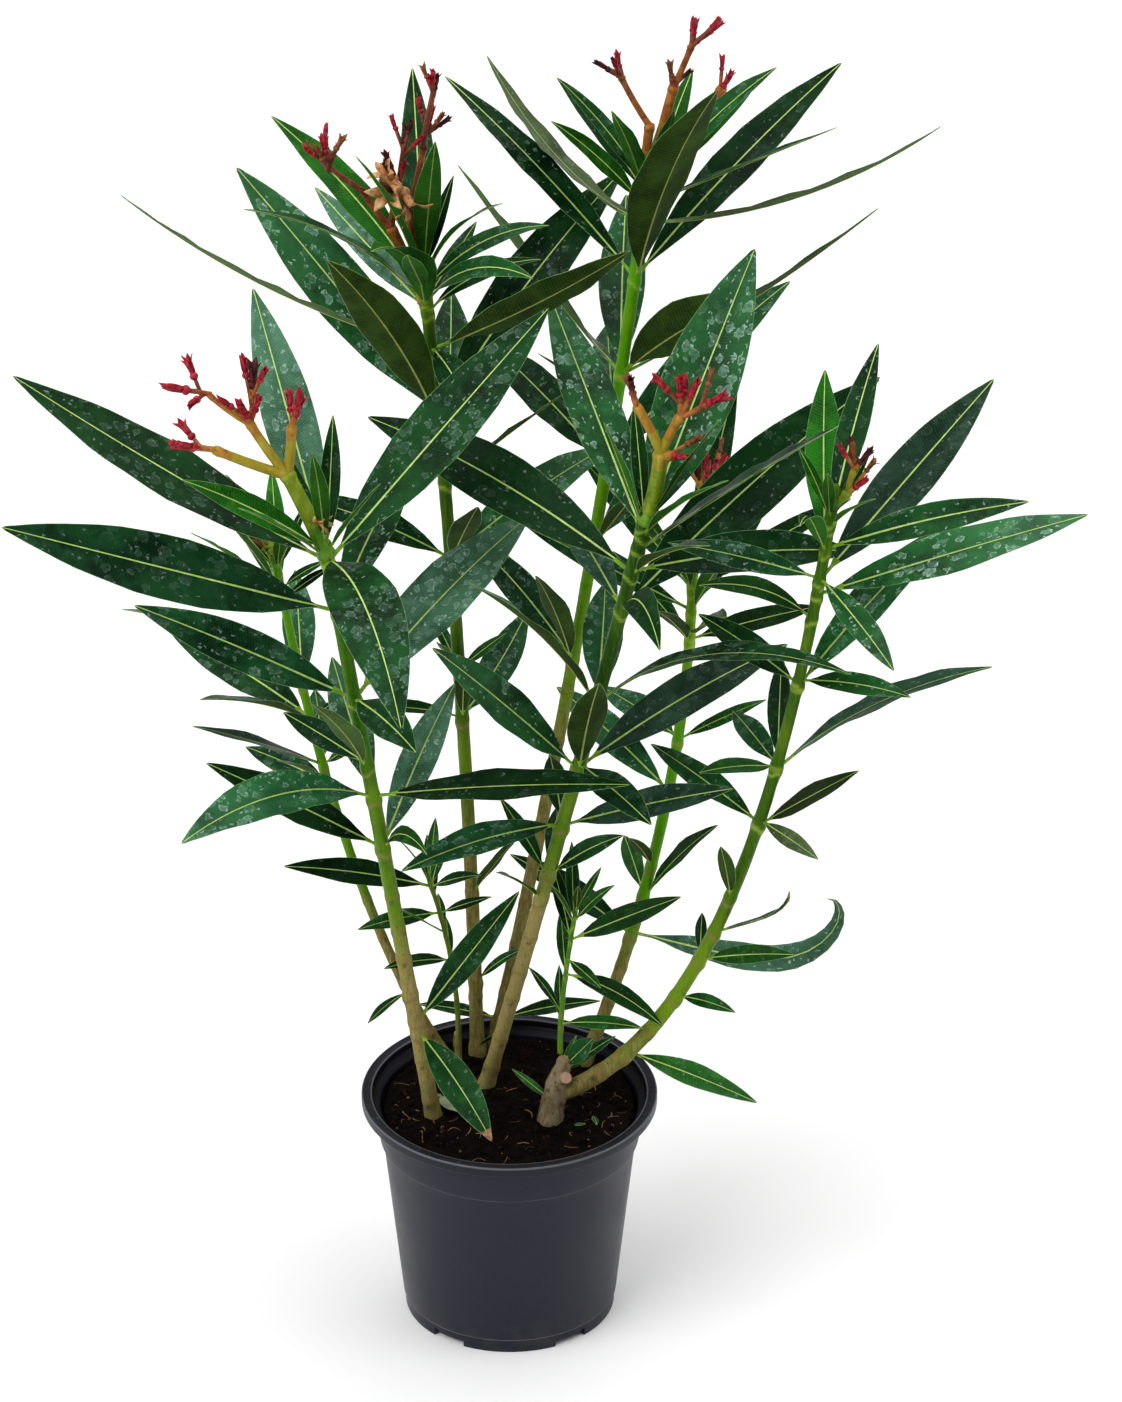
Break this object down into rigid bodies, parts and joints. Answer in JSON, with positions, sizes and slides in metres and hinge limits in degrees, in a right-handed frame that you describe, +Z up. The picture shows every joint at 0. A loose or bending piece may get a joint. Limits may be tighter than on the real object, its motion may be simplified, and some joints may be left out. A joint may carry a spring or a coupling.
{
  "type": "potted oleander shrub",
  "caption": "Evergreen flowering shrub with leafy canes, long narrow leaves in whorls and spent flower heads, standing in a round black nursery pot.",
  "frame": {"origin": "centre of the flat underside of the pot, on the ground", "axes": "+Z up; +Y away from the viewer of the picture; +X to the viewer's right"},
  "size_m": [0.6294, 0.5346, 0.804],
  "materials": {
    "pot_plastic": "satin, finely grained",
    "soil": "rough, crumbly",
    "bark": "smooth young bark with leaf scars",
    "leaves": "leathery, softly glossy"
  },
  "bodies": {
    "root": {"foliage_centre_back": "leaves", "foliage_centre_left": "leaves", "foliage_far_left": "leaves", "foliage_front_centre": "leaves", "foliage_front_left": "leaves", "foliage_right": "leaves", "foliage_right_back": "leaves", "foliage_young_left": "leaves", "foliage_young_right": "leaves", "low_leaf_centre_back_1": "leaves", "low_leaf_centre_back_2": "leaves", "low_leaf_centre_left_1": "leaves", "low_leaf_centre_left_2": "leaves", "low_leaf_front_left_1": "leaves", "low_leaf_front_left_2": "leaves", "low_leaf_front_left_3": "leaves", "low_leaf_right_1": "leaves", "low_leaf_right_2": "leaves", "low_leaf_stump_1": "leaves", "low_leaf_stump_2": "leaves", "low_leaf_stump_3": "leaves", "low_leaf_stump_4": "leaves", "pot": "pot_plastic", "soil": "soil", "stem_centre_back": "bark", "stem_centre_left": "bark", "stem_far_left": "bark", "stem_front_centre": "bark", "stem_front_left": "bark", "stem_right": "bark", "stem_right_back": "bark", "stump": "bark"}
  },
  "joints": []
}
